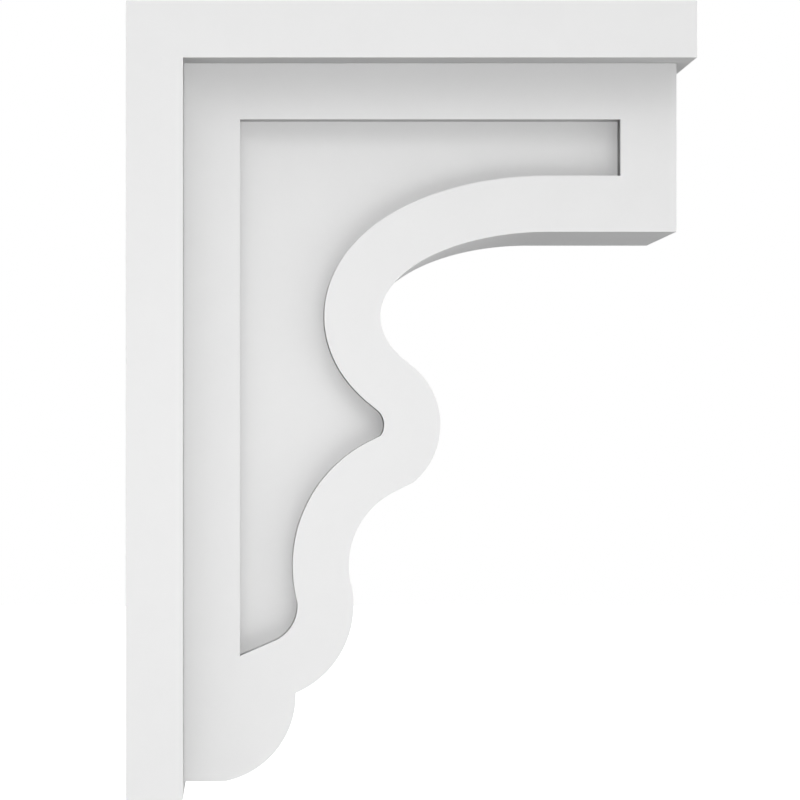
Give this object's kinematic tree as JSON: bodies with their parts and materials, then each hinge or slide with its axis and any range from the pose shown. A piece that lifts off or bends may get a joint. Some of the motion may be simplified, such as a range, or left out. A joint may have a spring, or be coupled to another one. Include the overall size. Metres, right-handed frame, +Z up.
{
  "type": "corbel",
  "caption": "White PVC corbel with a scroll-cut body, recessed sides framed by a flat band, a back plate and an overhanging top plate.",
  "frame": {"origin": "centre of the flat face that lies against the wall, halfway up the corbel", "axes": "+X out from the wall, +Y across the corbel, +Z up"},
  "size_m": [0.508, 0.1778, 0.7112],
  "materials": {
    "plate_pvc": "smooth white cellular PVC board",
    "body_pvc": "smooth white cellular PVC, sawn and sanded on the scroll edge",
    "frame_pvc": "smooth white cellular PVC sheet"
  },
  "bodies": {
    "root": {"top_plate": "plate_pvc", "back_plate": "plate_pvc", "scroll_body": "body_pvc", "side_frame_left": "frame_pvc", "side_frame_right": "frame_pvc"}
  },
  "joints": []
}
